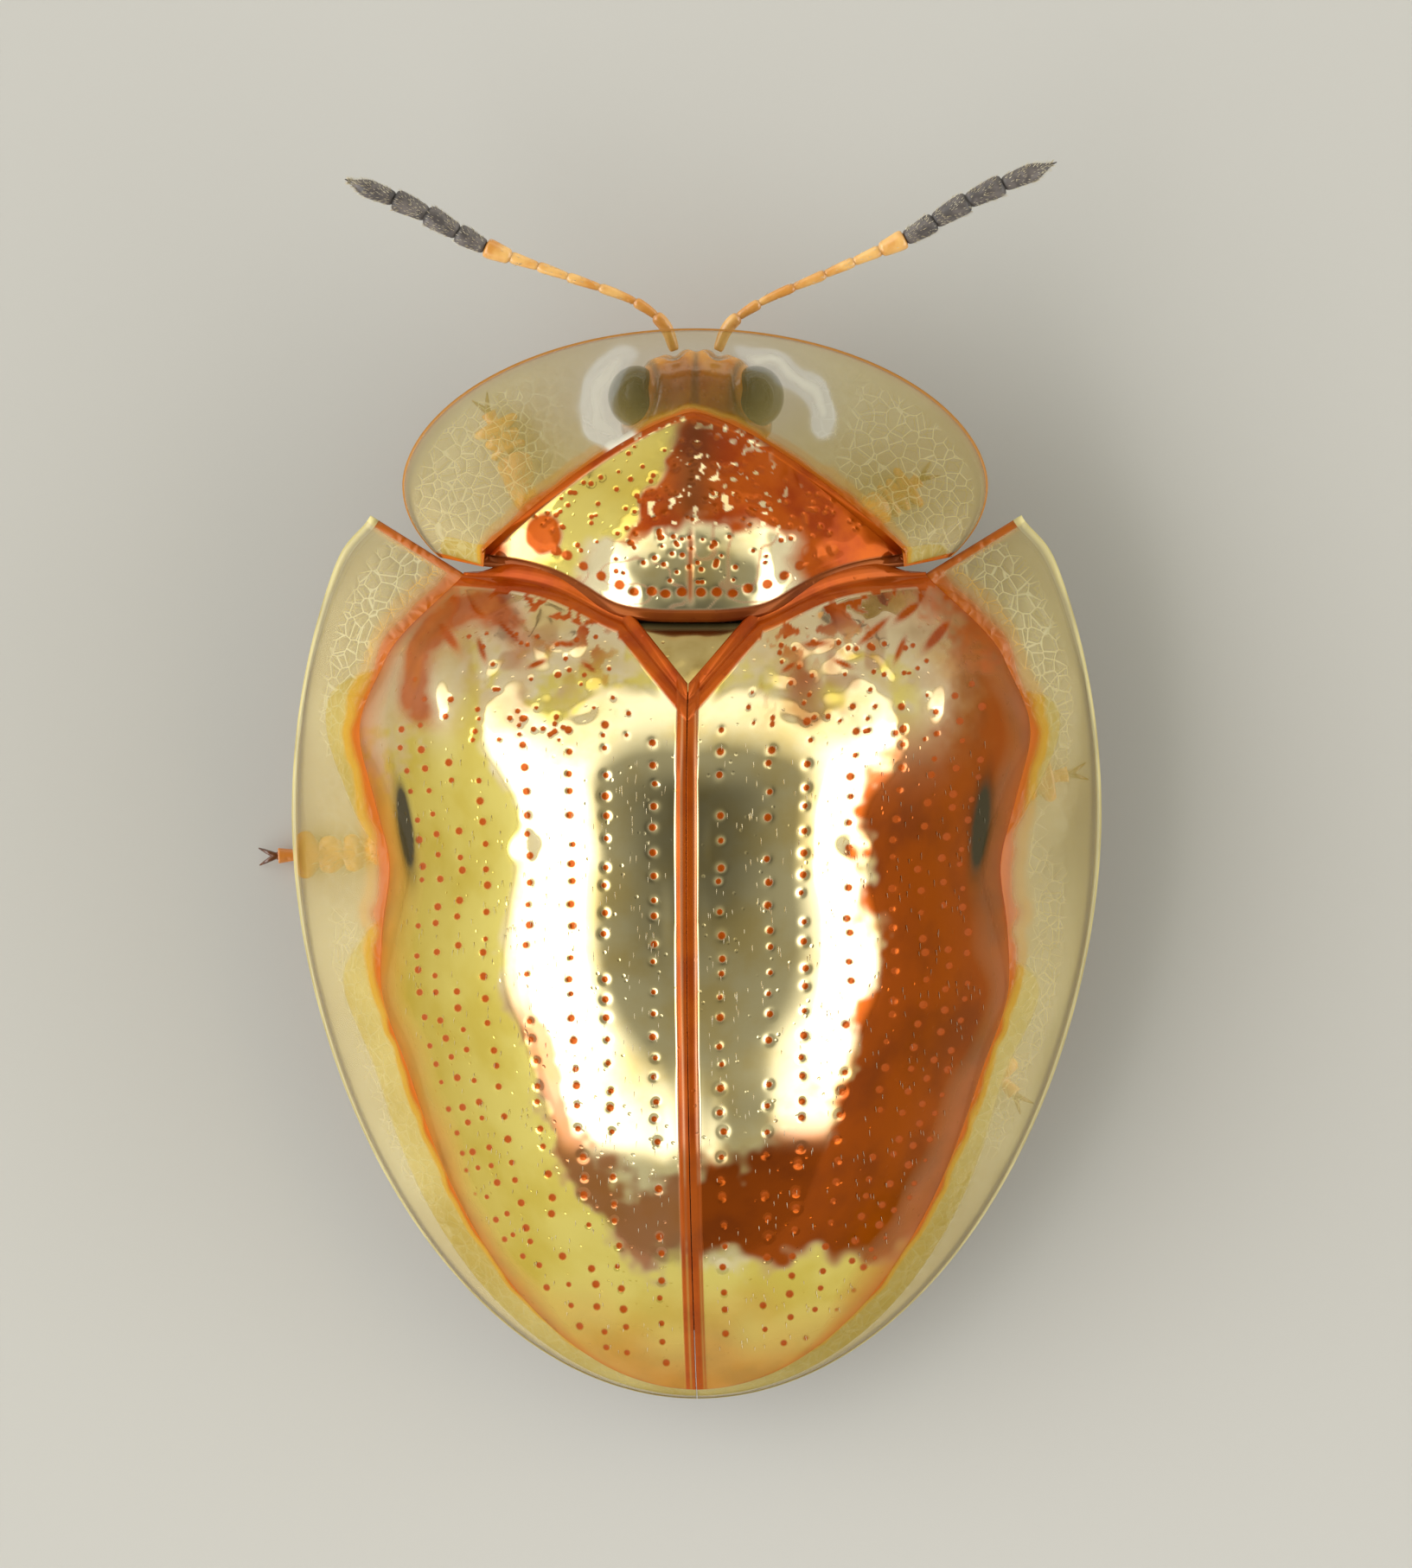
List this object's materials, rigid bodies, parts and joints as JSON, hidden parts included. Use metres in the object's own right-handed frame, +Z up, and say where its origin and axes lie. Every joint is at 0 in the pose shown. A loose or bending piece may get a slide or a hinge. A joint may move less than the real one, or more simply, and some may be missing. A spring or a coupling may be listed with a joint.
{
  "type": "golden tortoise beetle",
  "caption": "Life-size standing golden tortoise beetle: domed gold wing cases and shield inside clear flat margins, slender clubbed feelers, short legs set flat on the floor.",
  "frame": {"origin": "on the floor, below the middle of the whole animal's box, on the body's own middle plane to within 0.2 mm", "axes": "+Z up from the floor, -Y the way the beetle faces, +X its left side"},
  "size_m": [0.0052, 0.0076, 0.0027],
  "materials": {
    "gold_cuticle": "mirror gold with orange-brown pits and borders, clear-coated",
    "clear_cuticle": "glossy see-through film with a fine cell pattern and an amber edge",
    "amber_cuticle": "glossy red-orange cuticle",
    "leg_cuticle": "satin yellow-orange cuticle, darker at the joints",
    "belly_cuticle": "glossy dark brown cuticle",
    "dark_cuticle": "dark grey, satin, facetted on the eyes and downy on the feeler clubs"
  },
  "bodies": {
    "root": {"elytron_left": "gold_cuticle", "elytron_right": "gold_cuticle", "pronotum": "gold_cuticle", "elytron_margin_left": "clear_cuticle", "elytron_margin_right": "clear_cuticle", "pronotum_margin": "clear_cuticle", "scutellum": "amber_cuticle", "head": "amber_cuticle", "labrum": "amber_cuticle", "mandible_left": "amber_cuticle", "mandible_right": "amber_cuticle", "palp_left": "amber_cuticle", "palp_right": "amber_cuticle", "antenna_left": "amber_cuticle", "antenna_right": "amber_cuticle", "antenna_club_left": "dark_cuticle", "antenna_club_right": "dark_cuticle", "eye_left": "dark_cuticle", "eye_right": "dark_cuticle", "prothorax": "belly_cuticle", "thorax": "belly_cuticle", "abdomen": "belly_cuticle", "coxa_left_front": "leg_cuticle", "femur_left_front": "leg_cuticle", "tibia_left_front": "leg_cuticle", "tarsus_left_front": "leg_cuticle", "coxa_right_front": "leg_cuticle", "femur_right_front": "leg_cuticle", "tibia_right_front": "leg_cuticle", "tarsus_right_front": "leg_cuticle", "coxa_left_middle": "leg_cuticle", "femur_left_middle": "leg_cuticle", "tibia_left_middle": "leg_cuticle", "tarsus_left_middle": "leg_cuticle", "coxa_right_middle": "leg_cuticle", "femur_right_middle": "leg_cuticle", "tibia_right_middle": "leg_cuticle", "tarsus_right_middle": "leg_cuticle", "coxa_left_hind": "leg_cuticle", "femur_left_hind": "leg_cuticle", "tibia_left_hind": "leg_cuticle", "tarsus_left_hind": "leg_cuticle", "coxa_right_hind": "leg_cuticle", "femur_right_hind": "leg_cuticle", "tibia_right_hind": "leg_cuticle", "tarsus_right_hind": "leg_cuticle"}
  },
  "joints": []
}
